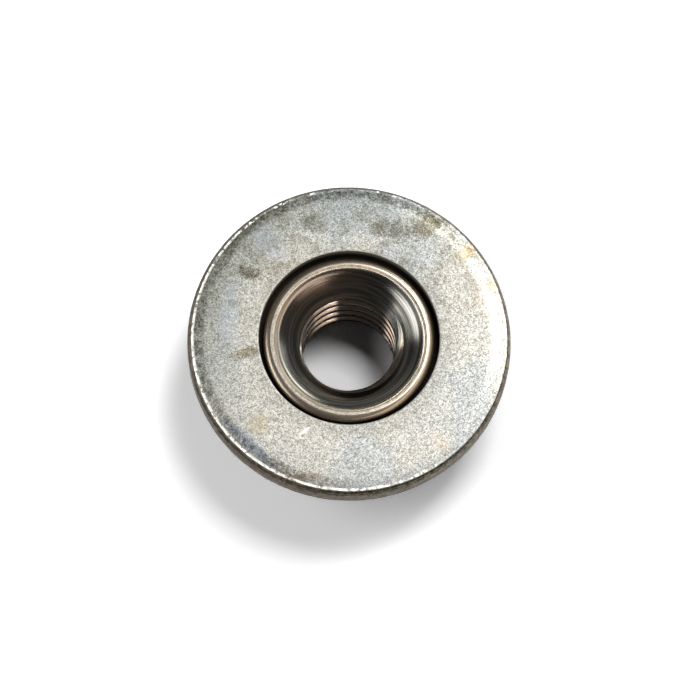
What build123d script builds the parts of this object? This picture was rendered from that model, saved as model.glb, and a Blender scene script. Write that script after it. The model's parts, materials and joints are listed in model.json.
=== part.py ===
from build123d import *
import os
from math import radians, sqrt, tan

# 3/8-16 UNC hexagon nut with a captive flat washer, in steel.
#
# The nut is one piece: a hexagon, a collar that passes up through the washer, and a lip at the collar's end
# that was flared over the washer's ledge to keep it on.  The washer hangs loose under the lip and turns freely.
#
# Millimetres.  +Z runs along the thread axis, from the hexagon's end face to the washer's bearing face.
# The origin is the centre of the hexagon's end face, on which the nut stands.

# ---- Thread ----
thread_d = 9.525               # 3/8 inch major diameter
thread_pitch = 1.5875          # 16 turns to the inch
drill_less_in_pitches = 0.865  # the tapping drill is this many pitches smaller than the thread, in diameter
entry_margin = 0.4             # the countersink at the hexagon end is this much wider than the thread, in radius
thread_angle = 60.0            # included angle of the groove
root_flat_in_pitches = 0.125   # width of the groove's flat root
thread_lead_in = 1.60          # the groove's helix starts on the +X side, this far below the end face

# ---- Nut ----
collar_wall = 1.84             # from the thread's major diameter to the outside of the collar's neck
shoulder_w = 2.13              # from the neck to a flat: the seat that carries the washer
hex_height = 7.0               # from the end face to the shoulder
corner_cut = 0.4               # how far the round lands at both ends lie inside the flats
corner_angle = 30.0            # slope of the corner chamfers, from the end faces

# ---- Flared lip ----
lip_overhang = 0.82            # how far the lip stands out from the neck
lip_height = 0.8               # from its underside, above the ledge, to its crest
lip_play = 0.2                 # end play of the washer: ledge to the lip's underside
lip_recess = 0.5               # how far the crest lies below the bearing face
lip_round = 0.4                # outer edge of the lip
lip_land = 0.67                # width of the crest, from the outer rounding to the mouth
mouth_round = 0.25             # inner edge of the lip, where the mouth begins
mouth_angle = 120.0            # included angle of the mouth, from the lip down to the thread
flare_angle = 30.0             # slope of the lip's underside

# ---- Captive washer ----
washer_d = 28.0                # outside diameter
ledge_thickness = 1.0          # the step in the hole that the lip holds
neck_clearance = 0.4           # radial, ledge to neck
lip_clearance = 0.38           # radial, counterbore to lip
die_roll_w = 1.1               # rounded outer edge of the bearing face: its width
die_roll_drop = 0.45           # and its depth
back_edge_round = 0.3          # outer edge of the underside
hole_edge_break = 0.1          # edge of the counterbore at the bearing face

# ---- Worked out: radii ----
thread_r = thread_d / 2
minor_r = (thread_d - drill_less_in_pitches * thread_pitch) / 2
groove_in_r = minor_r - thread_pitch / 8
entry_r = thread_r + entry_margin
neck_r = thread_r + collar_wall
flat_r = neck_r + shoulder_w
corner_r = 2 * flat_r / sqrt(3)
land_r = flat_r - corner_cut
lip_r = neck_r + lip_overhang
mouth_r = lip_r - lip_round - lip_land
ledge_r = neck_r + neck_clearance
counterbore_r = lip_r + lip_clearance
washer_r = washer_d / 2

# ---- Worked out: heights ----
ledge_z = hex_height + ledge_thickness
lip_under_z = ledge_z + lip_play
crest_z = lip_under_z + lip_height
bearing_z = crest_z + lip_recess
corner_drop = (corner_r - land_r) * tan(radians(corner_angle))
flare_start_z = lip_under_z - neck_clearance * tan(radians(flare_angle))
flare_end_z = lip_under_z + (lip_r - ledge_r) * tan(radians(flare_angle))
thread_end_z = crest_z - (mouth_r - thread_r) / tan(radians(mouth_angle / 2)) + thread_pitch / 2
root_half = root_flat_in_pitches * thread_pitch / 2
groove_half = root_half + (thread_r - groove_in_r) * tan(radians(thread_angle / 2))
mouth_apex_z = crest_z - mouth_r / tan(radians(mouth_angle / 2))


with BuildPart() as hex_nut:
    # Hexagon bar, turned to a round chamfer at both ends.
    with BuildSketch():
        RegularPolygon(radius=flat_r, side_count=6, major_radius=False)
    extrude(amount=hex_height)
    with BuildSketch(Plane.XZ):
        with BuildLine():
            Polyline(
                (0, 0),
                (land_r, 0),
                (corner_r, corner_drop),
                (corner_r, hex_height - corner_drop),
                (land_r, hex_height),
                (0, hex_height),
                close=True,
            )
        make_face()
    revolve(axis=Axis.Z, mode=Mode.INTERSECT)

    # Collar and flared lip.  Its foot reaches down into the hexagon, so the two are one piece.
    with BuildSketch(Plane.XZ) as collar:
        with BuildLine():
            Polyline(
                (0, hex_height / 2),
                (neck_r, hex_height / 2),
                (neck_r, flare_start_z),
                (lip_r, flare_end_z),
                (lip_r, crest_z),
                (0, crest_z),
                close=True,
            )
        make_face()
        lip_edge = collar.vertices().group_by(Axis.X)[-1].sort_by(Axis.Y)[-1]
        fillet(lip_edge, radius=lip_round)
    revolve(axis=Axis.Z)

    # Bore at the thread's minor diameter.
    with BuildSketch():
        Circle(minor_r)
    extrude(amount=crest_z, mode=Mode.SUBTRACT)

    # Right-hand thread: a groove along a helix that runs out into the open air at both ends.
    with BuildLine() as thread_line:
        Helix(
            pitch=thread_pitch,
            height=thread_lead_in + thread_end_z,
            radius=minor_r,
            center=(0, 0, -thread_lead_in),
        )
    with BuildSketch(Plane.XZ):
        with BuildLine():
            Polyline(
                (groove_in_r, -thread_lead_in - groove_half),
                (thread_r, -thread_lead_in - root_half),
                (thread_r, -thread_lead_in + root_half),
                (groove_in_r, -thread_lead_in + groove_half),
                close=True,
            )
        make_face()
    sweep(path=thread_line.wire(), is_frenet=True, mode=Mode.SUBTRACT)

    # 90 degree countersink at the hexagon's end, and the wide mouth that the lip was flared to.
    with BuildSketch(Plane.XZ):
        with BuildLine():
            Polyline((0, 0), (entry_r, 0), (0, entry_r), close=True)
        make_face()
    revolve(axis=Axis.Z, mode=Mode.SUBTRACT)
    with BuildSketch(Plane.XZ):
        with BuildLine():
            Polyline((0, mouth_apex_z), (mouth_r, crest_z), (0, crest_z), close=True)
        make_face()
    revolve(axis=Axis.Z, mode=Mode.SUBTRACT)
    mouth_edge = hex_nut.edges().filter_by(GeomType.CIRCLE).group_by(Axis.Z)[-1].sort_by(SortBy.RADIUS)[0]
    fillet(mouth_edge, radius=mouth_round)

hex_nut.part.label = "hex_nut"


with BuildPart() as captive_washer:
    # Stamped ring with a stepped hole and the rounded edge that blanking leaves.
    with BuildSketch(Plane.XZ):
        with BuildLine():
            Polyline(
                (washer_r, bearing_z - die_roll_drop),
                (washer_r, hex_height),
                (ledge_r, hex_height),
                (ledge_r, ledge_z),
                (counterbore_r, ledge_z),
                (counterbore_r, bearing_z),
                (washer_r - die_roll_w, bearing_z),
            )
            EllipticalCenterArc(
                center=(washer_r - die_roll_w, bearing_z - die_roll_drop),
                x_radius=die_roll_w,
                y_radius=die_roll_drop,
                start_angle=0,
                arc_size=90,
            )
        make_face()
    revolve(axis=Axis.Z)
    rims = captive_washer.edges().filter_by(GeomType.CIRCLE)
    back_edge = rims.group_by(Axis.Z)[0].sort_by(SortBy.RADIUS)[-1]
    fillet(back_edge, radius=back_edge_round)
    hole_edge = captive_washer.edges().filter_by(GeomType.CIRCLE).group_by(Axis.Z)[-1].sort_by(SortBy.RADIUS)[0]
    chamfer(hole_edge, length=hole_edge_break)

captive_washer.part.label = "captive_washer"


os.makedirs("parts", exist_ok=True)
for piece in (hex_nut, captive_washer):
    export_step(piece.part, f"parts/{piece.part.label}.step")
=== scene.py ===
import json
import math
from functools import partial

import bmesh
import bpy
import numpy as np
from bpy.props import FloatProperty, FloatVectorProperty, IntProperty, PointerProperty
from mathutils import Matrix, Vector, noise


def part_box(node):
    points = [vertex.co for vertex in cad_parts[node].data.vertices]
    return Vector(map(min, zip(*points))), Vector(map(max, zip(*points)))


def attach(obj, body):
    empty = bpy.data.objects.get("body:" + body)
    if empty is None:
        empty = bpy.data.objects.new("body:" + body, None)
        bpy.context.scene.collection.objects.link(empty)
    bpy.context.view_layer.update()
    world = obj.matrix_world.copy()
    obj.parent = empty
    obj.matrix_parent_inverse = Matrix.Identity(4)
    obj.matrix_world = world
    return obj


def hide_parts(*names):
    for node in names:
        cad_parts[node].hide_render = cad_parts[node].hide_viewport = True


bl_info = {
    "name": "Captive washer nut",
    "version": (1, 0, 0),
    "blender": (4, 5, 0),
    "location": "3D View > Sidebar > Nut",
    "description": "Dresses a 3/8-16 hexagon nut with its captive washer, and lights it on a pale table",
    "category": "Object",
}

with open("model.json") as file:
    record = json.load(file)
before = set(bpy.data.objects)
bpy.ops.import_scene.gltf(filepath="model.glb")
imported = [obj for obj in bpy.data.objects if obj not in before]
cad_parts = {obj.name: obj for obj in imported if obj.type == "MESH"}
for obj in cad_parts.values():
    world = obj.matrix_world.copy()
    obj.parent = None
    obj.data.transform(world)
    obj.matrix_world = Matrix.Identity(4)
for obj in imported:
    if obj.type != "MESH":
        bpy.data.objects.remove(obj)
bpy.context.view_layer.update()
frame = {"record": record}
NUT_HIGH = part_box("hex_nut")[1]
WASHER_LOW, WASHER_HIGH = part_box("captive_washer")
MOUNTS = {mount["name"]: mount for mount in frame["record"]["mounts"]}
MINOR_RADIUS = MOUNTS["thread"]["dims"]["r_mm"]  # millimetres
MM = 0.001
TURN = 2 * math.pi
FLANK = math.radians(60)  # slope of the thread's flanks, from the plane of the end faces
TOUCH = 1e-7  # metres within which two heights are the same
SLIVER = 0.002 * MM  # points closer than this are joined after the cut
BEYOND = 20.0  # millimetres, farther out and higher up than anything of the nut

Length = partial(FloatProperty, subtype="DISTANCE")
Angle = partial(FloatProperty, subtype="ANGLE")


# ---- sizes and finishes ----

class NutSizes(bpy.types.PropertyGroup):
    """Sizes of the hexagon, collar, lip and thread, in metres"""

    flat_radius: Length(name="Flat radius", description="Axis to a wrench flat", default=NUT_HIGH.y)
    corner_round: Length(
        name="Corner round", description="Softening where the hexagon's faces meet", default=0.12 * MM)
    land_radius: Length(
        name="Land radius", description="Round land that the corner chamfers leave at both ends",
        default=NUT_HIGH.y - 0.4 * MM)
    chamfer_angle: Angle(
        name="Chamfer angle", description="Slope of the corner chamfers from the end faces",
        default=math.radians(30))
    entry_radius: Length(
        name="Entry radius", description="Mouth of the countersink in the hexagon's end", default=5.1625 * MM)
    neck_radius: Length(
        name="Neck radius", description="Outside of the collar inside the washer", default=6.6025 * MM)
    lip_radius: Length(name="Lip radius", description="Outside of the flared lip", default=7.4225 * MM)
    lip_curve: Length(
        name="Lip curve", description="Radius of the arc in which the lip falls away outside its crest",
        default=1.15 * MM)
    crest_outer: Length(
        name="Crest, outer", description="Where the lip's crest begins to fall outward", default=6.70 * MM)
    crest_inner: Length(
        name="Crest, inner", description="Where the lip's crest begins to fall into the mouth",
        default=6.50 * MM)
    mouth_turn: Length(
        name="Mouth turn", description="Arc in which the crest bends over into the mouth", default=1.1 * MM)
    mouth_slope: Angle(
        name="Mouth slope", description="Slope of the mouth where that bend ends", default=math.radians(29))
    mouth_steep: Angle(
        name="Mouth slope, inner", description="Slope of the mouth where it meets the thread",
        default=math.radians(41))
    mouth_curve: Length(
        name="Mouth curve", description="Slow arc in which the mouth steepens towards the thread",
        default=6.2 * MM)
    flare_start: Length(
        name="Flare start", description="Height where the neck begins to flare", default=7.969 * MM)
    flare_end: Length(
        name="Flare end", description="Height where the flare reaches the lip's outside", default=8.44 * MM)
    pitch: Length(name="Pitch", description="Advance of the thread in one turn", default=25.4 / 16 * MM)
    root_radius: Length(
        name="Root radius", description="Axis to the bottom of the thread groove", default=4.7625 * MM)
    thread_lead_in: Length(
        name="Thread lead-in", description="How far below the end face the groove's helix passes the +X side",
        default=1.60 * MM)
    columns: IntProperty(name="Columns", description="Faces round the nut", default=360, min=36)


class WasherSizes(bpy.types.PropertyGroup):
    """Sizes of the captive washer, in metres"""

    rim_radius: Length(name="Rim radius", description="Outside of the washer", default=WASHER_HIGH.x)
    ledge_radius: Length(
        name="Ledge radius", description="Bore of the ledge under the lip", default=7.0025 * MM)
    ledge_thickness: Length(
        name="Ledge thickness", description="Height of the step in the hole", default=1.0 * MM)
    hole_radius: Length(name="Hole radius", description="Counterbore round the lip", default=7.8025 * MM)
    hole_break: Length(name="Hole edge", description="Broken edge of the hole", default=0.1 * MM)
    crown_radius: Length(
        name="Crown radius", description="Where the flat of the face ends and its crown begins",
        default=9.3 * MM)
    crown_drop: Length(
        name="Crown drop", description="How far the crown falls by the roll", default=0.07 * MM)
    roll_radius: Length(
        name="Roll radius", description="Where the rim begins to roll down", default=12.4 * MM)
    roll_drop: Length(name="Roll drop", description="How far the roll falls by the burr", default=0.15 * MM)
    burr_radius: Length(
        name="Burr radius", description="Inside of the worn burr along the rim", default=13.46 * MM)
    burr_width: Length(name="Burr width", description="Width of the worn burr", default=0.15 * MM)
    side_drop: Length(
        name="Side drop", description="From the bearing face down to where the side stands upright",
        default=1.15 * MM)
    back_round: Length(name="Back round", description="Rounding under the rim", default=0.3 * MM)
    nick_depth: Length(name="Nick depth", description="Depth of the nicks along the rim", default=0.06 * MM)
    unevenness: Length(name="Unevenness", description="Waviness of the tumbled face", default=0.006 * MM)
    columns: IntProperty(name="Columns", description="Faces round the washer", default=900, min=36)


class SteelColours(bpy.types.PropertyGroup):
    """Colours of the two steels"""

    zinc_light: FloatVectorProperty(
        name="Zinc, light", description="Bright grains of the plating",
        default=(0.62, 0.60, 0.545), subtype="COLOR", min=0, max=1)
    zinc_dark: FloatVectorProperty(
        name="Zinc, dark", description="Dull grains of the plating",
        default=(0.24, 0.23, 0.20), subtype="COLOR", min=0, max=1)
    turned: FloatVectorProperty(
        name="Turned steel", description="Bare turned steel",
        default=(0.56, 0.50, 0.43), subtype="COLOR", min=0, max=1)


class StudioSettings(bpy.types.PropertyGroup):
    """Camera, table and lights"""

    elevation: Angle(
        name="Elevation", description="Camera's height above the table, as an angle",
        default=math.radians(73))
    roll: Angle(name="Roll", description="Camera's turn about its own axis", default=math.radians(3.0))
    distance: Length(name="Distance", description="Camera to the washer's hole", default=0.30)
    frame_width: Length(
        name="Frame width", description="Width of the picture at the washer", default=60.30 * MM)


# ---- mesh tools ----

def line(start, end, steps):
    """Points from start to end, without the last."""
    share = np.arange(steps)[:, None] / steps
    return np.array(start) + share * (np.array(end) - np.array(start))


def lines(*stops, end):
    """Points on straight lines through the stops, each a place and its steps to the next, without the end."""
    places = [place for place, steps in stops] + [end]
    return np.concatenate([line(places[i], places[i + 1], stop[1]) for i, stop in enumerate(stops)])


def arc(centre, radius, start, end, steps):
    """Points on an arc, angles in degrees, without the last."""
    angle = np.radians(start + (end - start) * np.arange(steps) / steps)
    return np.stack([centre[0] + radius * np.cos(angle), centre[1] + radius * np.sin(angle)], 1)


def link_object(name, mesh):
    """A new object of the mesh, in the scene."""
    made = bpy.data.objects.new(name, mesh)
    bpy.context.scene.collection.objects.link(made)
    return made


def new_object(name, points, faces):
    """A mesh object from arrays of points and of faces."""
    mesh = bpy.data.meshes.new(name)
    mesh.from_pydata(points.tolist(), [], faces)
    mesh.validate()
    return link_object(name, mesh)


def lathe(section, columns):
    """Radius, height and angle of every point of a section that is turned through a full circle."""
    angle = TURN * np.arange(columns) / columns
    radius = np.repeat(section[:, :1], columns, 1)
    height = np.repeat(section[:, 1:], columns, 1)
    return radius, height, angle


def lathe_faces(rows, columns):
    """Faces of a closed section turned through a full circle."""
    here = np.arange(rows * columns).reshape(rows, columns)
    beside, above = np.roll(here, -1, 1), np.roll(here, -1, 0)
    return np.stack([here, beside, np.roll(above, -1, 1), above], -1).reshape(-1, 4).tolist()


def smooth_least(a, b, soft):
    """The smaller of two values, with a soft change from one to the other."""
    share = np.clip(0.5 + 0.5 * (b - a) / soft, 0, 1)
    return b * (1 - share) + a * share - soft * share * (1 - share)


def shade(made, angle):
    """Smooth shading, with edges sharper than the angle in degrees kept sharp."""
    made.data.shade_smooth()
    made.data.set_sharp_from_angle(angle=math.radians(angle))


# ---- nut ----

def hexagon_radius(angle, sizes):
    """Distance from the axis to the hexagon's side, with its corners on X."""
    side = TURN / 6
    across = (angle + side) % side - side / 2
    plain = sizes.flat_radius / np.cos(across)
    corner = sizes.flat_radius / math.cos(side / 2) - sizes.corner_round
    return smooth_least(plain, np.full_like(plain, corner), sizes.corner_round)


def mouth_points(sizes):
    """Where the mouth's first bend ends, and where its slow arc ends above the thread."""
    turn, curve = sizes.mouth_turn, sizes.mouth_curve
    slope, steep = sizes.mouth_slope, sizes.mouth_steep
    start = (sizes.crest_inner - turn * math.sin(slope), NUT_HIGH.z - turn * (1 - math.cos(slope)))
    foot = (start[0] - curve * (math.sin(steep) - math.sin(slope)),
            start[1] - curve * (math.cos(slope) - math.cos(steep)))
    return start, foot


def nut_section(sizes):
    """Closed section of the turned nut, up its outside and down a narrow pilot hole."""
    height, shoulder = NUT_HIGH.z, WASHER_LOW.z
    entry, land, neck, lip = sizes.entry_radius, sizes.land_radius, sizes.neck_radius, sizes.lip_radius
    pilot = 3.6 * MM
    margin = 0.3 * MM
    beyond = sizes.flat_radius / math.cos(TURN / 12) + margin
    drop = (beyond - land) * math.tan(sizes.chamfer_angle)
    turn, curve = sizes.mouth_turn, sizes.mouth_curve
    slope, steep = math.degrees(sizes.mouth_slope), math.degrees(sizes.mouth_steep)
    mouth_start, mouth_foot = mouth_points(sizes)
    slow = (mouth_start[0] + curve * math.sin(sizes.mouth_slope),
            mouth_start[1] - curve * math.cos(sizes.mouth_slope))
    mouth_end = (pilot, mouth_foot[1] - (mouth_foot[0] - pilot) * math.tan(sizes.mouth_steep))
    soft = 0.05 * MM
    bevel = soft * math.sqrt(0.5)
    corner_in = 0.04 * MM
    fall = math.asin((lip - corner_in - sizes.crest_outer) / sizes.lip_curve)
    lip_corner = (lip - corner_in, height - sizes.lip_curve * (1 - math.cos(fall)))
    pilot_low = (pilot, entry - pilot)
    return np.concatenate([
        lines(
            (pilot_low, 12),
            ((entry - bevel, bevel), 2),
            ((entry + soft, 0), 6),
            ((land - soft, 0), 2),
            ((land + soft, 0.6 * soft), 30),
            ((beyond, drop), 24),
            ((beyond, shoulder - drop), 30),
            ((land + soft, shoulder - 0.6 * soft), 2),
            ((land - soft, shoulder), 5),
            ((neck, shoulder), 6),
            ((neck, sizes.flare_start), 6),
            ((lip - soft, sizes.flare_end - soft), 3),
            ((lip, sizes.flare_end + soft), 3),
            ((lip, lip_corner[1] - soft), 3),
            end=lip_corner),
        arc((sizes.crest_outer, height - sizes.lip_curve), sizes.lip_curve, 90 - math.degrees(fall), 90, 18),
        line((sizes.crest_outer, height), (sizes.crest_inner, height), 3),
        arc((sizes.crest_inner, height - turn), turn, 90, 90 + slope, 14),
        arc(slow, curve, 90 + slope, 90 + steep, 22),
        lines((mouth_foot, 20), (mouth_end, 8), end=pilot_low),
    ])


def nut_blank(sizes):
    """The turned nut with its hexagon and countersinks, before the thread is cut."""
    section = nut_section(sizes)
    radius, height, angle = lathe(section, sizes.columns)
    side = np.repeat(hexagon_radius(angle, sizes)[None], len(section), 0)
    hexed = (height < WASHER_LOW.z + TOUCH) & (radius > sizes.land_radius)
    radius = np.where(hexed, smooth_least(radius, side, sizes.corner_round), radius)
    points = np.stack([radius * np.cos(angle), radius * np.sin(angle), height], -1).reshape(-1, 3)
    return new_object("nut_blank", points, lathe_faces(len(section), sizes.columns))


def tap_profile(sizes):
    """One pitch of the tap as height and radius, with the groove's root halfway up."""
    crest, root, middle = MINOR_RADIUS * MM, sizes.root_radius, sizes.pitch / 2
    slope = math.tan(FLANK)
    root_half = sizes.pitch / 16
    groove_half = root_half + (root - crest) / slope
    soft = 0.02 * MM
    rising = [
        (middle - groove_half - soft, crest),
        (middle - groove_half, crest + 0.4 * soft),
        (middle - groove_half + soft, crest + slope * soft),
        (middle - (root_half + groove_half) / 2, (crest + root) / 2),
        (middle - root_half - soft, root - slope * soft),
        (middle - root_half, root - 0.4 * soft),
        (middle - root_half + soft, root),
    ]
    falling = [(sizes.pitch - height, radius) for height, radius in reversed(rising)]
    return [(0, crest), *rising, *falling]


def tap(sizes):
    """A closed right-hand screw, longer than the nut, that cuts the thread."""
    profile = tap_profile(sizes)
    across, around = len(profile), 240
    turns = int(math.ceil(NUT_HIGH.z / sizes.pitch)) + 3
    start = -sizes.thread_lead_in - 1.5 * sizes.pitch
    height, radius = np.array(profile).T
    columns = turns * around + 1
    angle = TURN * np.arange(columns) / around
    rise = start + sizes.pitch * np.arange(columns) / around
    points = np.stack([
        radius[None] * np.cos(angle)[:, None],
        radius[None] * np.sin(angle)[:, None],
        rise[:, None] + height[None],
    ], -1).reshape(-1, 3)

    def after(column, step):
        """The next point of the profile, which after its end is the first one of a turn later."""
        return column * across + step + 1 if step + 1 < across else (column + around) * across

    seam = columns - around - 1
    bottom, top = len(points), len(points) + 1
    points = np.concatenate([points, [
        (0, 0, start - sizes.pitch), (0, 0, rise[-1] + sizes.pitch)]])
    faces = [
        (column * across + step, (column + 1) * across + step, after(column + 1, step), after(column, step))
        for column in range(seam) for step in range(across)]
    faces += [(bottom, (column + 1) * across, column * across) for column in range(around)]
    faces += [(bottom, step, after(0, step)) for step in range(across)]
    faces += [(top, column * across, (column + 1) * across) for column in range(seam, seam + around)]
    faces += [(top, after(seam, step), seam * across + step) for step in range(across)]
    return new_object("tap", points, faces)


def weld(mesh, distance):
    """Joins points closer than the distance, so that no slivers are left."""
    shell = bmesh.new()
    shell.from_mesh(mesh)
    bmesh.ops.remove_doubles(shell, verts=shell.verts, dist=distance)
    bmesh.ops.dissolve_degenerate(shell, edges=shell.edges, dist=distance)
    shell.to_mesh(mesh)
    shell.free()


def cut(blank, tool, name):
    """The blank less the tool, as a new object. Both of them are used up."""
    modifier = blank.modifiers.new("cut", "BOOLEAN")
    modifier.operation = "DIFFERENCE"
    modifier.solver = "EXACT"
    modifier.object = tool
    bpy.context.view_layer.update()
    shaped = bpy.data.meshes.new_from_object(blank.evaluated_get(bpy.context.evaluated_depsgraph_get()))
    for used in (blank, tool):
        mesh = used.data
        bpy.data.objects.remove(used)
        bpy.data.meshes.remove(mesh)
    weld(shaped, SLIVER)
    shaped.name = name
    return link_object(name, shaped)


# ---- washer ----

def face_drop(radius, sizes):
    """How far the crowned and rolled face lies below the bearing plane."""
    crown_run = sizes.roll_radius - sizes.crown_radius
    crown = np.clip(radius - sizes.crown_radius, 0, crown_run) / crown_run
    past = np.clip(radius - sizes.roll_radius, 0, None)
    roll = past / (sizes.burr_radius - sizes.roll_radius)
    return sizes.crown_drop * (crown ** 2 + 2 * past / crown_run) + sizes.roll_drop * roll ** 2


def washer_section(sizes):
    """Closed section of the washer, from its underside round the rim and back down the hole."""
    low, top = WASHER_LOW.z, WASHER_HIGH.z
    rim, back, bore = sizes.rim_radius, sizes.back_round, sizes.ledge_radius
    hole, edge = sizes.hole_radius, sizes.hole_break
    ledge = low + sizes.ledge_thickness
    soft = 0.06 * MM
    burr_in = top - face_drop(sizes.burr_radius, sizes)
    burr_out = sizes.burr_radius + sizes.burr_width
    burr_foot = (burr_out + 0.1 * MM, burr_in - 0.11 * MM)
    burr_top = (burr_out, burr_in - 0.005 * MM)
    shoulder = (rim - soft, top - 0.62 * sizes.side_drop)
    face = np.linspace(sizes.burr_radius, hole + edge, 46)[:-1]
    return np.concatenate([
        line((bore + soft, low), (rim - back, low), 12),
        arc((rim - back, low + back), back, -90, 0, 5),
        lines(
            ((rim, low + back), 8),
            ((rim, top - sizes.side_drop), 3),
            (shoulder, 4),
            (burr_foot, 2),
            (burr_top, 4),
            end=(sizes.burr_radius, burr_in)),
        np.stack([face, top - face_drop(face, sizes)], 1),
        arc((hole + edge, top - edge), edge, 90, 180, 4),
        lines(
            ((hole, top - edge), 4),
            ((hole, ledge), 3),
            ((bore + soft, ledge), 1),
            ((bore, ledge - soft), 2),
            ((bore, low + soft), 1),
            end=(bore + soft, low)),
    ])


def relief(points, feature, seed):
    """Noise in -1 to 1 at each point, with features of that size in millimetres."""
    shift = Vector((seed * 17.3, seed * 5.1, seed * 9.7))
    return np.array([noise.noise(Vector(p) / (feature * MM) + shift) for p in points])


def washer_mesh(sizes):
    """The washer, with its rim nicked inward and its face slightly uneven."""
    section = washer_section(sizes)
    radius, height, angle = lathe(section, sizes.columns)
    points = np.stack([radius * np.cos(angle), radius * np.sin(angle), height], -1).reshape(-1, 3)
    radius = np.hypot(points[:, 0], points[:, 1])
    below = WASHER_HIGH.z - points[:, 2]
    out = points[:, :2] / radius[:, None]
    burr_out = sizes.burr_radius + sizes.burr_width
    burr_inset, burr_spread, burr_reach = 0.05 * MM, 0.22 * MM, 0.6 * MM
    at_burr = np.exp(-((radius - burr_out + burr_inset) / burr_spread) ** 2) * (below < burr_reach)
    on_side = np.clip((radius - burr_out) / (0.15 * MM), 0, 1)
    jagged = relief(points, 0.33, 1) + 0.7 * relief(points, 0.14, 2)
    torn = 0.5 + 0.5 * relief(points * (1, 1, 4), 0.6, 3)
    points[:, :2] -= out * (sizes.nick_depth * (at_burr * jagged + 0.35 * on_side * torn))[:, None]
    points[:, 2] -= 0.35 * sizes.nick_depth * at_burr * (0.5 + relief(points, 0.2, 5))
    face_reach = 0.3 * MM
    on_face = (below < face_reach) & (radius > sizes.hole_radius + 0.5 * sizes.hole_break)
    waves = 0.5 + 0.5 * relief(points, 1.1, 4)
    points[:, 2] -= sizes.unevenness * np.where(on_face, waves, 0)
    return new_object("captive_washer_steel", points, lathe_faces(len(section), sizes.columns))


# ---- nodes ----

NUMBER, VECTOR = "NodeSocketFloat", "NodeSocketVector"


def add(tree, kind, inputs=None, **settings):
    """A new node, with its settings and with values or links on its inputs."""
    made = tree.nodes.new(kind)
    for name, value in settings.items():
        setattr(made, name, value)
    for key, value in (inputs or {}).items():
        if isinstance(value, bpy.types.NodeSocket):
            tree.links.new(value, made.inputs[key])
        elif isinstance(value, tuple) and made.inputs[key].type == "RGBA":
            made.inputs[key].default_value = (*value[:3], 1)
        else:
            made.inputs[key].default_value = value
    return made


def maths(tree, operation, *values):
    return add(tree, "ShaderNodeMath", dict(enumerate(values)), operation=operation).outputs[0]


def times(tree, first, second):
    return maths(tree, "MULTIPLY", first, second)


def vectors(tree, operation, *values, output="Vector"):
    return add(tree, "ShaderNodeVectorMath", dict(enumerate(values)), operation=operation).outputs[output]


def scaled(tree, vector, factor):
    return add(tree, "ShaderNodeVectorMath", {0: vector, "Scale": factor}, operation="SCALE").outputs[0]


def split(tree, vector):
    return add(tree, "ShaderNodeSeparateXYZ", {0: vector}).outputs


def clouds(tree, at, scale, detail, roughness):
    """Soft noise between 0 and 1."""
    inputs = {"Vector": at, "Scale": scale, "Detail": detail, "Roughness": roughness}
    return add(tree, "ShaderNodeTexNoise", inputs).outputs[0]


def blend(tree, share, first, second, mode="MIX"):
    """Colour that goes from the first to the second as the share goes from 0 to 1."""
    inputs = {0: share, 6: first, 7: second}
    return add(tree, "ShaderNodeMix", inputs, data_type="RGBA", blend_type=mode).outputs[2]


def remap(tree, value, low, high, to_low=0.0, to_high=1.0, kind="SMOOTHSTEP"):
    """The value's way from low to high, as a soft change between two other values."""
    inputs = {"Value": value, "From Min": low, "From Max": high, "To Min": to_low, "To Max": to_high}
    return add(tree, "ShaderNodeMapRange", inputs, interpolation_type=kind).outputs[0]


def new_group(name, **inputs):
    """An empty node group and its inputs, each given with its kind or a number. _ stands for a space."""
    tree = bpy.data.node_groups.new(name, "ShaderNodeTree")
    for key, kind in inputs.items():
        number = not isinstance(kind, str)
        made = tree.interface.new_socket(
            name=key.replace("_", " "), in_out="INPUT", socket_type=NUMBER if number else kind)
        if number:
            made.default_value = kind
    return tree, add(tree, "NodeGroupInput").outputs


def put_out(tree, **results):
    """Gives the group a named output for each result."""
    for name, result in results.items():
        kind = VECTOR if result.type == "VECTOR" else NUMBER
        tree.interface.new_socket(name=name, in_out="OUTPUT", socket_type=kind)
    ends = add(tree, "NodeGroupOutput").inputs
    for name, result in results.items():
        tree.links.new(result, ends[name])


def place_group():
    """Object place in millimetres, and the same place as radius, height and turn."""
    tree, _ = new_group("Place")
    place = scaled(tree, add(tree, "ShaderNodeTexCoord").outputs["Object"], 1000.0)
    flat = vectors(tree, "MULTIPLY", place, (1.0, 1.0, 0.0))
    radius = vectors(tree, "LENGTH", flat, output="Value")
    side = vectors(tree, "NORMALIZE", flat)
    height, turn = split(tree, place)[2], split(tree, side)
    sway = 0.25  # how far the tool lines wander in one turn
    turned = add(tree, "ShaderNodeCombineXYZ", {
        0: maths(tree, "ADD", radius, times(tree, turn[0], sway)),
        1: times(tree, turn[1], sway), 2: height}).outputs[0]
    put_out(tree, Place=place, Radius=radius, Height=height, Turned=turned, Side=side)


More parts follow.
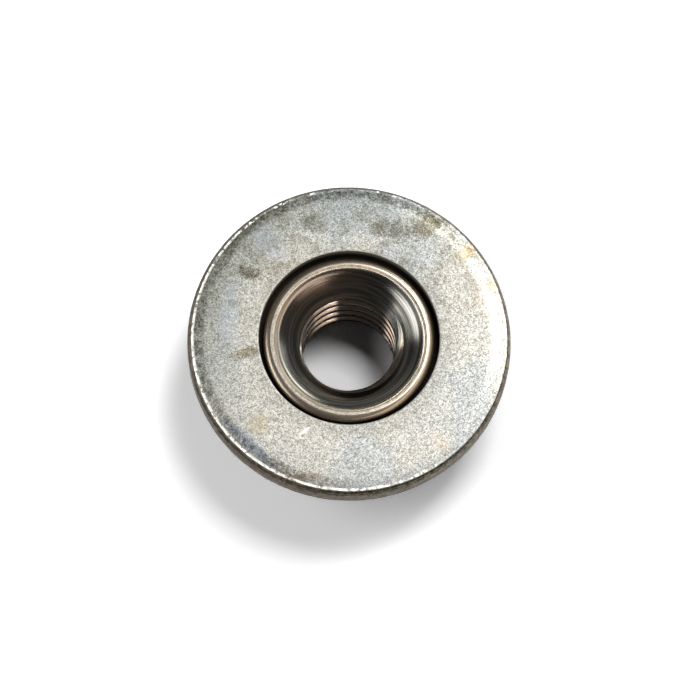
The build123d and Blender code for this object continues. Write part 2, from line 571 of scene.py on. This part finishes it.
def grain_group():
    """Fine salt-and-pepper grain of noise and crystals, with slower cloudiness."""
    tree, given = new_group("Grain", Place=VECTOR, Grain_size=0.12, Contrast=0.5)
    place, scale = given["Place"], maths(tree, "DIVIDE", 1.0, given["Grain size"])
    crystals = add(tree, "ShaderNodeTexVoronoi", {"Vector": place, "Scale": scale}).outputs["Color"]
    crystal = add(tree, "ShaderNodeSeparateColor", {"Color": crystals}).outputs[0]
    fine = maths(tree, "ADD", times(tree, clouds(tree, place, scale, 1.0, 0.6), 0.55),
                 times(tree, crystal, 0.45))
    coarse = clouds(tree, place, times(tree, scale, 0.34), 2.0, 0.55)
    mixed = maths(tree, "ADD", times(tree, fine, 0.62), times(tree, coarse, 0.38))
    swing = maths(tree, "DIVIDE", 0.28, given["Contrast"])
    grain = remap(tree, mixed, maths(tree, "SUBTRACT", 0.5, swing), maths(tree, "ADD", 0.5, swing),
                  kind="LINEAR")
    cloud = clouds(tree, place, times(tree, scale, 0.045), 3.0, 0.6)
    put_out(tree, Grain=grain, Cloud=cloud)


def band_group():
    """Mask that is 1 between two values and fades out beside them."""
    tree, given = new_group("Band", Value=0.0, From=0.0, To=1.0, Fade=0.1)
    rise = remap(tree, given["Value"], maths(tree, "SUBTRACT", given["From"], given["Fade"]), given["From"])
    fall = remap(tree, given["Value"], given["To"], maths(tree, "ADD", given["To"], given["Fade"]), 1.0, 0.0)
    put_out(tree, Mask=times(tree, rise, fall))


def stain_group():
    """Ragged patch at a place, long one way."""
    tree, given = new_group("Stain", Place=VECTOR, Centre=VECTOR, Turn=0.0, Size=VECTOR, Ragged=0.5)
    from_centre = vectors(tree, "SUBTRACT", given["Place"], given["Centre"])
    turned = add(tree, "ShaderNodeVectorRotate", {
        "Vector": from_centre, "Angle": given["Turn"]}, rotation_type="Z_AXIS").outputs[0]
    away = vectors(tree, "LENGTH", vectors(tree, "DIVIDE", turned, given["Size"]), output="Value")
    ragged = clouds(tree, given["Place"], 1.5, 5.0, 0.8)
    spread = times(tree, maths(tree, "SUBTRACT", ragged, 0.5), times(tree, given["Ragged"], 4.0))
    put_out(tree, Mask=remap(tree, maths(tree, "ADD", away, spread), 1.2, 0.5))


def facing_group():
    """Mask that is 1 on one side of the axis, from an angle in degrees, and fades round to 0."""
    tree, given = new_group("Facing", Side=VECTOR, Angle=0.0, Begins=0.0, Full=1.0)
    angle = maths(tree, "RADIANS", given["Angle"])
    ahead = add(tree, "ShaderNodeCombineXYZ", {
        0: maths(tree, "COSINE", angle), 1: maths(tree, "SINE", angle)}).outputs[0]
    toward = vectors(tree, "DOT_PRODUCT", given["Side"], ahead, output="Value")
    put_out(tree, Mask=remap(tree, toward, given["Begins"], given["Full"]))


def thread_group():
    """Where the thread's crests are, and where the mouth is."""
    sizes = bpy.context.scene.nut_sizes
    tree, given = new_group("Thread", Place=VECTOR, Radius=0.0)
    pitch, lead_in, root = (v / MM for v in (sizes.pitch, sizes.thread_lead_in, sizes.root_radius))
    flat = 0.5 - 1 / 16 - (root - MINOR_RADIUS) / math.tan(FLANK) / pitch
    axes = split(tree, given["Place"])
    turns = maths(tree, "DIVIDE", maths(tree, "ARCTAN2", axes[1], axes[0]), TURN)
    pitches = maths(tree, "DIVIDE", maths(tree, "ADD", axes[2], lead_in), pitch)
    phase = maths(tree, "FRACT", maths(tree, "ADD", maths(tree, "SUBTRACT", pitches, turns), 9.0))
    from_crest = maths(tree, "ABSOLUTE", maths(tree, "SUBTRACT", phase, 0.5))
    on_crest = times(tree, remap(tree, from_crest, flat + 0.02, flat - 0.04),
                     remap(tree, given["Radius"], MINOR_RADIUS + 0.08, MINOR_RADIUS + 0.03))
    slope = math.tan(sizes.mouth_steep)
    foot = mouth_points(sizes)[1]
    over_cone = maths(tree, "MULTIPLY_ADD", given["Radius"], -slope, axes[2])
    cone = (foot[1] - foot[0] * slope) / MM
    on_mouth = maths(tree, "MAXIMUM", remap(tree, over_cone, cone - 0.12, cone - 0.05),
                     remap(tree, given["Radius"], root + 0.01, root + 0.04))
    upper_half = remap(tree, axes[2], 4.0, 5.0)
    put_out(tree, Crest=on_crest, Mouth=times(tree, on_mouth, upper_half))


def tool_line_group():
    """Fine rings that a cutting tool leaves round the axis."""
    tree, given = new_group("Tool lines", Turned=VECTOR, Spacing=0.15)
    spun = scaled(tree, given["Turned"], maths(tree, "DIVIDE", 1.0, given["Spacing"]))
    thin = vectors(tree, "MULTIPLY", spun, (1.0, 0.12, 1.0))
    fine = clouds(tree, thin, 1.0, 3.0, 0.7)
    broad = clouds(tree, thin, 0.3, 2.0, 0.5)
    put_out(tree, Line=remap(tree, fine, 0.3, 0.7), Streak=remap(tree, broad, 0.32, 0.68))


GROUPS = {
    "Place": place_group,
    "Grain": grain_group,
    "Band": band_group,
    "Stain": stain_group,
    "Facing": facing_group,
    "Tool lines": tool_line_group,
    "Thread": thread_group,
}


def use(tree, name, **inputs):
    """A shared node group's outputs, built once. Underscores in its inputs' names stand for spaces."""
    if name not in bpy.data.node_groups:
        GROUPS[name]()
    made = add(tree, "ShaderNodeGroup", node_tree=bpy.data.node_groups[name])
    for key, value in inputs.items():
        socket = made.inputs[key.replace("_", " ")]
        if isinstance(value, bpy.types.NodeSocket):
            tree.links.new(value, socket)
        else:
            socket.default_value = value
    return made.outputs


# ---- finishes ----

class Finish:
    """The nodes of one metal finish. Sizes are in millimetres, angles in degrees from +X towards +Y."""

    def __init__(self, name):
        self.material = bpy.data.materials.new(name)
        self.material.use_nodes = True
        self.tree = self.material.node_tree
        place = use(self.tree, "Place")
        self.place, self.radius, self.height = place["Place"], place["Radius"], place["Height"]
        self.turned, self.side = place["Turned"], place["Side"]

    def grain(self, size, contrast):
        """Outputs of the shared grain."""
        return use(self.tree, "Grain", Place=self.place, Grain_size=size, Contrast=contrast)

    def tool_lines(self, spacing):
        """Outputs of the shared tool lines."""
        return use(self.tree, "Tool lines", Turned=self.turned, Spacing=spacing)

    def rings(self, start=0.0, end=BEYOND, fade=0.1):
        """Mask between two radii."""
        return use(self.tree, "Band", Value=self.radius, From=start, To=end, Fade=fade)["Mask"]

    def layer(self, start=0.0, end=BEYOND, fade=0.1):
        """Mask between two heights."""
        return use(self.tree, "Band", Value=self.height, From=start, To=end, Fade=fade)["Mask"]

    def toward(self, angle, begins, full):
        """Mask on one side of the axis."""
        return use(self.tree, "Facing", Side=self.side, Angle=angle, Begins=begins, Full=full)["Mask"]

    def both(self, first, second):
        """The product of two masks, or of a mask and a strength."""
        return times(self.tree, first, second)

    def level(self, value, low, high):
        """The value's way from low to high as a soft mask."""
        return remap(self.tree, value, low, high)

    def clouds(self, scale, detail, roughness):
        """Soft noise over the piece."""
        return clouds(self.tree, self.place, scale, detail, roughness)

    def mix(self, share, first, second):
        """Colour that goes from the first to the second."""
        return blend(self.tree, share, first, second)

    def toned(self, colour, tone):
        """The colour, multiplied by a tone."""
        return blend(self.tree, 1.0, colour, tone, "MULTIPLY")

    def tint(self, share, colour, tone):
        """The colour, multiplied by a tone where the share is 1."""
        return self.mix(share, colour, self.toned(colour, tone))

    def raised(self, base, *changes):
        """The base, with each mask added at its strength."""
        for mask, strength in changes:
            base = maths(self.tree, "MULTIPLY_ADD", mask, strength, base)
        return base

    def finish(self, colour, roughness, relief, depth):
        """Gives the shader its colour, its roughness and a bump of that depth in millimetres.

        The colour is darker for the light that the metal throws on matt surfaces.
        """
        thrown = add(self.tree, "ShaderNodeLightPath").outputs["Is Diffuse Ray"]
        bump = add(self.tree, "ShaderNodeBump", {"Height": relief, "Strength": 1.0, "Distance": depth * MM})
        shader = self.tree.nodes["Principled BSDF"]
        shader.inputs["Metallic"].default_value = 1
        colour = self.mix(self.both(thrown, 0.8), colour, (0.0, 0.0, 0.0))
        self.tree.links.new(colour, shader.inputs["Base Color"])
        self.tree.links.new(roughness, shader.inputs["Roughness"])
        self.tree.links.new(bump.outputs[0], shader.inputs["Normal"])
        return self.material


# Stains on the washer: place x and y, half sizes, turn in degrees, colour, strength
WASHER_STAINS = (
    ((6.2, 10.4), (1.7, 0.9), -35, (0.15, 0.12, 0.06), 0.95),
    ((10.2, 8.7), (0.6, 1.9), 48, (0.36, 0.24, 0.11), 0.85),
    ((11.8, 5.2), (0.7, 2.0), 22, (0.56, 0.42, 0.27), 0.3),
    ((3.2, 9.9), (2.0, 1.1), 0, (0.13, 0.115, 0.09), 0.95),
    ((-3.5, 10.2), (1.4, 1.0), 20, (0.14, 0.13, 0.10), 0.85),
    ((-5.2, 8.6), (0.9, 0.6), 0, (0.22, 0.19, 0.14), 0.6),
    ((-9.0, 5.4), (1.3, 0.7), 20, (0.12, 0.10, 0.07), 0.95),
    ((-8.8, -1.9), (1.5, 0.5), -20, (0.15, 0.12, 0.06), 1.0),
    ((-7.4, -8.2), (1.2, 0.9), -30, (0.36, 0.29, 0.15), 0.55),
    ((-3.2, -12.6), (1.6, 0.5), -12, (0.22, 0.19, 0.11), 0.75),
    ((-9.8, 9.0), (0.6, 3.4), 48, (0.26, 0.24, 0.17), 0.9),
    ((-8.1, -9.9), (0.5, 3.4), -50, (0.17, 0.20, 0.25), 0.9),
    ((8.2, -9.0), (1.2, 0.8), 45, (0.58, 0.42, 0.28), 0.25),
    ((-7.5, 8.2), (2.2, 1.3), 45, (0.42, 0.48, 0.56), 0.38),
    ((-10.5, 1.5), (0.9, 3.0), 0, (0.42, 0.48, 0.55), 0.4),
    ((-3.4, -8.6), (0.12, 0.65), 50, (1.0, 0.98, 0.94), 1.0),
)


def stained(zinc, plated, grain):
    """The plating under its stains, in which the bright grains still show."""
    scratch_width, ragged, scratched = 0.2, 0.65, 0.12
    for centre, size, turn, colour, strength in WASHER_STAINS:
        patch = use(
            zinc.tree, "Stain", Place=zinc.place, Centre=(*centre, WASHER_HIGH.z / MM), Size=(*size, 5.0),
            Turn=math.radians(turn), Ragged=scratched if min(size) < scratch_width else ragged)["Mask"]
        under = zinc.mix(zinc.both(grain, 0.55), colour, plated)
        plated = zinc.mix(zinc.both(patch, strength), plated, under)
    return plated


def sheared_side(zinc, scuffs):
    """The dark side that the shear left, streaked round the rim and scuffed."""
    streaks = zinc.mix(zinc.tool_lines(0.35)["Line"], (0.035, 0.029, 0.021), (0.19, 0.165, 0.130))
    return zinc.mix(zinc.level(scuffs, 0.40, 0.60), zinc.toned(streaks, (0.5, 0.48, 0.44)),
                    zinc.toned(streaks, (1.35, 1.33, 1.28)))


def tumbled_zinc(colours):
    """Dull zinc plate: grainy face, stained, with a bright worn burr and a dark sheared side, and painted
    shade and sheen on the face and rim.
    """
    zinc = Finish("tumbled_zinc")
    grain = zinc.grain(0.08, 2.0)["Grain"]
    rough = zinc.grain(0.3, 1.2)["Grain"]
    blotch = zinc.grain(0.55, 1.6)
    scuffs = zinc.clouds(2.2, 4.0, 0.8)

    # The face: grains, slow blotches, pits and stains
    plated = zinc.mix(grain, (*colours.zinc_dark,), (*colours.zinc_light,))
    plated = zinc.tint(zinc.both(blotch["Grain"], 0.45), plated, (0.80, 0.80, 0.80))
    plated = zinc.tint(zinc.level(blotch["Cloud"], 0.42, 0.62), plated, (0.88, 0.93, 1.0))
    specks = add(zinc.tree, "ShaderNodeTexVoronoi", {"Vector": zinc.place, "Scale": 3.1}).outputs["Distance"]
    pits = zinc.both(zinc.level(specks, 0.20, 0.06), zinc.level(rough, 0.35, 0.6))
    plated = zinc.mix(zinc.both(pits, 0.75), plated, (0.10, 0.09, 0.08))
    plated = stained(zinc, plated, grain)
    # Cloudy darker patches towards the far side (+Y): partly the plating's own tone, partly painted shade on
    # that side of the face
    mottle_and_far_shade = zinc.both(zinc.level(zinc.clouds(0.6, 6.0, 0.75), 0.48, 0.60), zinc.toward(95, -0.2, 0.6))
    plated = zinc.tint(zinc.both(mottle_and_far_shade, 0.7), plated, (0.66, 0.64, 0.57))

    # Towards the rim, away from the light, scuffs painted darker, partly wear and partly painted shade, and
    # by the hole a little darker
    away_from_light = maths(zinc.tree, "SUBTRACT", 1.0, zinc.toward(-30, 0.0, 0.8))
    scuffed = zinc.mix(zinc.level(scuffs, 0.42, 0.58), (0.42, 0.41, 0.38), (1.0, 1.0, 0.98))
    # Painted shade: the scuffed darkening is left off the side that faces the light
    plated = zinc.tint(zinc.both(zinc.rings(12.85, fade=0.5), away_from_light), plated, scuffed)
    plated = zinc.tint(zinc.rings(end=8.6, fade=1.0), plated, (0.86, 0.86, 0.85))
    # Painted shade, a little blue, on the outer face towards the upper left
    upper_left_shade = zinc.both(zinc.rings(11.5, fade=3.0), zinc.toward(128, -0.3, 0.8))
    plated = zinc.tint(zinc.both(upper_left_shade, 0.75), plated, (0.60, 0.65, 0.66))

    # Bare metal on the torn burr and the hole's edge
    torn = zinc.raised(rough, (zinc.toward(-150, -0.6, 0.8), 0.45))
    burr = zinc.both(zinc.rings(13.42, 13.60, 0.05), zinc.level(torn, 0.70, 0.95))
    hole_edge = zinc.rings(7.8, 7.88, 0.04)
    bright = maths(zinc.tree, "MAXIMUM", burr, zinc.both(hole_edge, 0.1))
    colour = zinc.mix(bright, plated, (0.84, 0.82, 0.76))

    # The sheared side, the hole's wall in painted shade, and the part of the rim with a smoother finish and a
    # painted sheen
    on_side = zinc.both(zinc.rings(13.68, fade=0.06), zinc.layer(7.0, 9.2, 0.1))
    colour = zinc.mix(on_side, colour, sheared_side(zinc, scuffs))
    in_hole = zinc.rings(end=7.80, fade=0.03)
    # The hole's wall, painted nearly black below its top edge as the shade of the gap round the lip
    wall = zinc.mix(zinc.layer(9.1, fade=0.4), (0.030, 0.026, 0.022), (0.20, 0.17, 0.13))
    colour = zinc.mix(in_hole, colour, wall)
    # Painted sheen: the rim is brightened towards the upper right, where it is also made smoother
    polished = zinc.both(zinc.toward(32, 0.45, 0.95), zinc.rings(12.5, fade=0.6))
    colour = zinc.tint(zinc.both(polished, 0.7), colour, (1.3, 1.3, 1.3))

    wear = zinc.raised(0.56, (bright, -0.12), (polished, -0.10), (grain, -0.05), (in_hole, 0.25))
    return zinc.finish(colour, wear, zinc.raised(grain, (rough, 0.8)), 0.005)


def lip_crest(steel, pits):
    """Colour of the worn crest, with painted shade at the far side, at the right and on its inner edge."""
    cream = steel.mix(pits, (0.18, 0.152, 0.115), (0.38, 0.345, 0.29))
    # Painted shade where the crest faces away from the light
    cream = steel.tint(steel.toward(80, 0.1, 0.95), cream, (0.68, 0.62, 0.55))
    cream = steel.tint(steel.toward(15, 0.4, 0.9), cream, (0.48, 0.46, 0.43))
    inner = steel.both(steel.toward(250, -0.1, 0.8), steel.rings(6.3, 6.54, 0.06))
    return steel.tint(inner, cream, (0.55, 0.52, 0.47))


def mouth_wall(steel, ring, streak):
    """Colour of the dull mouth, streaked, with a painted warm reflection at the upper left and painted light
    on its near side.
    """
    dull = steel.mix(ring, (0.055, 0.053, 0.046), (0.20, 0.195, 0.175))
    # A painted warm reflection: the mouth browner at the upper left
    warm_reflection = steel.mix(ring, (0.095, 0.072, 0.054), (0.26, 0.205, 0.160))
    dull = steel.mix(steel.toward(125, 0.45, 0.95), dull, warm_reflection)
    dull = steel.mix(streak, steel.toned(dull, (0.50, 0.50, 0.50)), dull)
    # Painted light: the mouth brighter on its near side (-Y)
    return steel.tint(steel.toward(275, 0.1, 0.9), dull, (2.2, 2.2, 2.15))


def lip_bend(steel, colour):
    """The colour with painted shade on the bend between crest and mouth in front and at the left, and a
    painted highlight on it at the right.
    """
    # Painted shade in front, on the crest's inner edge
    near = steel.both(steel.toward(285, 0.2, 0.8), steel.rings(6.36, 6.56, 0.07))
    colour = steel.tint(near, colour, (0.5, 0.47, 0.42))
    bend = steel.rings(6.22, 6.44, 0.08)
    # Painted shade on the bend at the left
    colour = steel.tint(steel.both(bend, steel.toward(195, 0.1, 0.85)), colour, (0.42, 0.38, 0.33))
    # Painted highlight on the bend at the right
    return steel.tint(steel.both(bend, steel.toward(340, 0.4, 0.95)), colour, (2.6, 2.5, 2.3))


def turned_steel(colours):
    """Turned steel: tool lines, a worn pale crest, a brown flank, a dull mouth and a bright thread, with
    painted shade and highlights on the lip, mouth and thread.
    """
    steel = Finish("turned_steel")
    lines_cut = steel.tool_lines(0.13)
    ring = lines_cut["Line"]
    pits = steel.grain(0.10, 2.0)["Grain"]
    patches = steel.grain(0.5, 1.5)
    colour = steel.mix(ring, (*(0.72 * v for v in colours.turned),), (*colours.turned,))

    # The hexagon's sides, drawn lengthwise and patchy
    along = vectors(steel.tree, "MULTIPLY", steel.place, (6.0, 6.0, 0.35))
    drawn = steel.level(clouds(steel.tree, along, 1.0, 3.0, 0.65), 0.35, 0.65)
    on_bar = steel.both(steel.rings(8.55, fade=0.1), steel.layer(-1.0, 6.97, 0.04))
    bar = steel.mix(drawn, (0.16, 0.153, 0.14), (0.29, 0.28, 0.26))
    colour = steel.mix(on_bar, colour, steel.tint(patches["Cloud"], bar, (0.62, 0.60, 0.56)))

    # The lip's flank, with painted shade towards the right front, and its crest, with painted shade
    on_lip = steel.layer(7.6, fade=0.2)
    brown = steel.mix(ring, (0.22, 0.182, 0.135), (0.56, 0.475, 0.37))
    # Painted shade on the flank towards the right front
    brown = steel.tint(steel.toward(-30, 0.40, 0.85), brown, (0.36, 0.33, 0.29))
    colour = steel.mix(steel.both(on_lip, steel.rings(6.93, fade=0.12)), colour, brown)
    crest = steel.both(on_lip, steel.rings(6.55, 6.72, 0.10))
    colour = steel.mix(crest, colour, lip_crest(steel, pits))

    # The mouth, with a painted highlight streak, the bend above it with painted shade and highlight, and a
    # painted dark line of shade round it
    thread = use(steel.tree, "Thread", Place=steel.place, Radius=steel.radius)
    mouth = steel.both(steel.rings(4.0, 6.43, 0.12), thread["Mouth"])
    colour = steel.mix(mouth, colour, mouth_wall(steel, ring, lines_cut["Streak"]))
    # A painted highlight streak on the mouth towards the upper right
    pale = steel.both(steel.toward(33, 0.86, 0.995), steel.rings(5.75, 6.35, 0.3))
    gleam = steel.mix(ring, (0.16, 0.15, 0.135), (0.48, 0.46, 0.42))
    colour = lip_bend(steel, steel.mix(steel.both(pale, 0.5), colour, gleam))
    # A broken dark line round the mouth, painted shade standing in for a small groove
    dark_line = steel.both(steel.rings(5.26, 5.34, 0.05), steel.level(patches["Cloud"], 0.4, 0.6))
    colour = steel.mix(steel.both(steel.both(dark_line, mouth), 0.7), colour, (0.06, 0.05, 0.045))

    # The thread, with painted shade at the right, in front and on its crests, and the hidden neck painted
    # nearly black as shade
    in_thread = steel.both(steel.rings(end=4.98, fade=0.04), maths(steel.tree, "SUBTRACT", 1.0, mouth))
    worn = steel.mix(patches["Grain"], (0.40, 0.33, 0.27), (0.60, 0.51, 0.43))
    # Painted shade on the thread towards the right and in front
    thread_shade = maths(steel.tree, "MAXIMUM", steel.toward(30, 0.20, 0.29), steel.toward(285, 0.10, 0.5))
    colour = steel.mix(in_thread, colour, steel.tint(thread_shade, worn, (0.32, 0.30, 0.28)))
    # Painted shade on the thread's crests, nearly black
    colour = steel.mix(steel.both(thread["Crest"], 0.8), colour, (0.035, 0.028, 0.024))
    # The neck inside the washer, painted nearly black as the shade of the gap
    neck = steel.both(steel.rings(6.5, fade=0.03), steel.layer(7.0, 8.50, 0.1))
    colour = steel.mix(neck, colour, (0.04, 0.034, 0.028))

    wear = steel.raised(0.30, (ring, -0.06), (mouth, -0.08), (in_thread, -0.12), (crest, 0.13), (pale, 0.12))
    tooled = add(steel.tree, "ShaderNodeMix", {0: on_bar, 2: ring, 3: drawn}, data_type="FLOAT").outputs[0]
    return steel.finish(colour, wear, steel.raised(tooled, (pits, 0.3)), 0.0025)


# ---- operators ----

class OBJECT_OT_dress_nut(bpy.types.Operator):
    """Makes the threaded hexagon nut in turned steel"""

    bl_idname = "object.dress_nut"
    bl_label = "Hexagon nut"

    def execute(self, context):
        sizes = context.scene.nut_sizes
        nut = cut(nut_blank(sizes), tap(sizes), "hex_nut_steel")
        shade(nut, 32)
        nut.data.materials.clear()
        nut.data.materials.append(turned_steel(context.scene.steel_colours))
        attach(nut, "nut")
        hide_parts("hex_nut")
        return {"FINISHED"}


class OBJECT_OT_dress_washer(bpy.types.Operator):
    """Makes the captive washer in tumbled zinc plate"""

    bl_idname = "object.dress_washer"
    bl_label = "Captive washer"

    def execute(self, context):
        washer = washer_mesh(context.scene.washer_sizes)
        shade(washer, 40)
        washer.data.materials.append(tumbled_zinc(context.scene.steel_colours))
        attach(washer, "washer")
        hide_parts("captive_washer")
        return {"FINISHED"}


def aim(thing, target, roll=0.0):
    """Points a camera or lamp at a place, turned about its own axis."""
    look = (Vector(target) - thing.location).to_track_quat("-Z", "Y")
    thing.rotation_euler = (look.to_matrix().to_4x4() @ Matrix.Rotation(roll, 4, "Z")).to_euler()


def direction(azimuth, elevation):
    """Unit vector at an angle from +X towards +Y, and above the table, in degrees."""
    a, e = math.radians(azimuth), math.radians(elevation)
    return Vector((math.cos(a) * math.cos(e), math.sin(a) * math.cos(e), math.sin(e)))


def softbox(name, azimuth, elevation, wide, high, share, colour=(1, 1, 1), distance=0.45):
    """An area lamp that faces the nut.

    Its width and height are angles in degrees as the nut sees them. Its share is what it adds to the
    table's brightness, where 1 shows a white sheet as white.
    """
    width, height = (2 * distance * math.tan(math.radians(angle / 2)) for angle in (wide, high))
    radiance = share * math.pi * distance ** 2 / (width * height * math.sin(math.radians(elevation)))
    lamp = bpy.data.lights.new(name, "AREA")
    lamp.shape = "RECTANGLE"
    lamp.size, lamp.size_y = width, height
    lamp.energy = radiance * math.pi * width * height
    lamp.color = colour
    made = link_object(name, lamp)
    made.location = direction(azimuth, elevation) * distance
    aim(made, (0, 0, 0))
    return made


def card(name, azimuth, elevation, wide, high, radiance, colour=(1, 1, 1)):
    """A lit card that only polished metal shows; 1 is as bright as a white sheet in full light."""
    share = radiance * math.radians(wide) * math.radians(high) * math.sin(math.radians(elevation)) / math.pi
    softbox(name, azimuth, elevation, wide, high, share, colour).visible_diffuse = False


def seen_directly(tree):
    """1 for camera rays and for what metal or glass shows, 0 for light that falls on a surface."""
    path = add(tree, "ShaderNodeLightPath").outputs
    either = maths(tree, "MAXIMUM", path["Is Camera Ray"], path["Is Glossy Ray"])
    return maths(tree, "MAXIMUM", either, path["Is Transmission Ray"])


def make_world(ambient):
    """White where it is seen, and a faint even light on surfaces."""
    world = bpy.data.worlds.new("world")
    bpy.context.scene.world = world
    world.use_nodes = True
    background = world.node_tree.nodes["Background"]
    background.inputs["Color"].default_value = (1, 1, 1, 1)
    strength = maths(world.node_tree, "MAXIMUM", seen_directly(world.node_tree), ambient)
    world.node_tree.links.new(strength, background.inputs["Strength"])


def new_material(made, name):
    """A new material on the object, as its node tree."""
    material = bpy.data.materials.new(name)
    material.use_nodes = True
    made.data.materials.append(material)
    return material.node_tree


def make_table():
    """A wide matt white sheet that keeps the nut's shadow."""
    reach = 2.0
    corners = reach * np.array([(-1, -1, 0), (1, -1, 0), (1, 1, 0), (-1, 1, 0)])
    table = new_object("table", corners, [(0, 1, 2, 3)])
    tree = new_material(table, "white_sheet")
    shader = tree.nodes["Principled BSDF"]
    sheet = blend(tree, seen_directly(tree), (0.8, 0.8, 0.8), (1.5, 1.5, 1.5))
    tree.links.new(sheet, shader.inputs["Base Color"])
    shader.inputs["Roughness"].default_value = 1
    shader.inputs["Specular IOR Level"].default_value = 0


def make_room():
    """Dark walls and ceiling round the table, which only metal shows."""
    rings, columns, size, gap = 12, 48, 1.5, 0.001
    leans = [ring / rings * math.pi / 2 for ring in range(rings)]
    turns = [TURN * column / columns for column in range(columns)]
    points = [(size * math.cos(turn) * math.cos(lean), size * math.sin(turn) * math.cos(lean),
               gap + size * math.sin(lean)) for lean in leans for turn in turns]
    points.append((0, 0, size))
    faces = lathe_faces(rings, columns)[:-columns]
    last = (rings - 1) * columns
    faces += [(last + column, last + (column + 1) % columns, len(points) - 1) for column in range(columns)]
    room = new_object("room", np.array(points), faces)
    tree = new_material(room, "dark_wall")
    tree.nodes.remove(tree.nodes["Principled BSDF"])
    height = split(tree, add(tree, "ShaderNodeNewGeometry").outputs["Position"])[2]
    tone = remap(tree, height, 0.0, 0.9 * size, 0.30, 0.10)
    wall = add(tree, "ShaderNodeEmission", {"Strength": tone}).outputs[0]
    tree.links.new(wall, tree.nodes["Material Output"].inputs["Surface"])
    room.visible_camera = room.visible_diffuse = room.visible_shadow = room.visible_transmission = False


def make_camera(settings):
    """The camera, which looks at a point just beside the middle of the washer's hole."""
    aside, down = 0.12, 1.116  # millimetres
    camera = bpy.data.cameras.new("camera")
    camera.sensor_width = 36
    camera.lens = camera.sensor_width * settings.distance / settings.frame_width
    camera.clip_start, camera.clip_end = 0.01, 10
    made = link_object("camera", camera)
    back = direction(-90, math.degrees(settings.elevation))
    across = Vector((1, 0, 0))
    up = back.cross(across)
    target = Vector((0, 0, WASHER_HIGH.z)) + across * aside * MM - up * down * MM
    made.location = target + back * settings.distance
    aim(made, target, settings.roll)
    bpy.context.scene.camera = made


class OBJECT_OT_dress_studio(bpy.types.Operator):
    """Makes the pale table, the soft lights and the camera"""

    bl_idname = "object.dress_studio"
    bl_label = "Studio"

    def execute(self, context):
        scene = context.scene
        make_camera(scene.studio_settings)
        softbox("key_lamp", 59, 66, 19, 19, 0.42)
        softbox("right_lamp", 49, 34, 38, 18, 0.18)
        softbox("left_lamp", 187, 37, 38, 28, 0.32)
        softbox("front_lamp", 300, 20, 40, 14, 0.06).visible_glossy = False
        card("rim_card", 350, 62, 56, 24, 4.0)
        card("warm_card", 322, 44, 30, 16, 1.0, (1.0, 0.84, 0.72))
        make_world(0.035)
        make_table()
        make_room()
        scene.view_settings.view_transform = "Standard"
        return {"FINISHED"}


class VIEW3D_PT_captive_nut(bpy.types.Panel):
    """Lists the pieces and their sizes in the sidebar"""

    bl_label = "Captive washer nut"
    bl_space_type = "VIEW_3D"
    bl_region_type = "UI"
    bl_category = "Nut"

    def draw(self, context):
        layout = self.layout
        for operator in OPERATORS:
            layout.operator(operator.bl_idname)
        for name, group in SETTINGS.items():
            box = layout.box()
            settings = getattr(context.scene, name)
            for prop in group.__annotations__:
                box.prop(settings, prop)


OPERATORS = (OBJECT_OT_dress_nut, OBJECT_OT_dress_washer, OBJECT_OT_dress_studio)
SETTINGS = {
    "nut_sizes": NutSizes,
    "washer_sizes": WasherSizes,
    "steel_colours": SteelColours,
    "studio_settings": StudioSettings,
}
CLASSES = (*SETTINGS.values(), *OPERATORS, VIEW3D_PT_captive_nut)


def register():
    for made in CLASSES:
        bpy.utils.register_class(made)
    for name, group in SETTINGS.items():
        setattr(bpy.types.Scene, name, PointerProperty(type=group))


def unregister():
    for name in SETTINGS:
        delattr(bpy.types.Scene, name)
    for made in reversed(CLASSES):
        bpy.utils.unregister_class(made)


def main():
    register()
    bpy.ops.object.dress_nut()
    bpy.ops.object.dress_washer()
    bpy.ops.object.dress_studio()


if __name__ == "__main__":
    main()
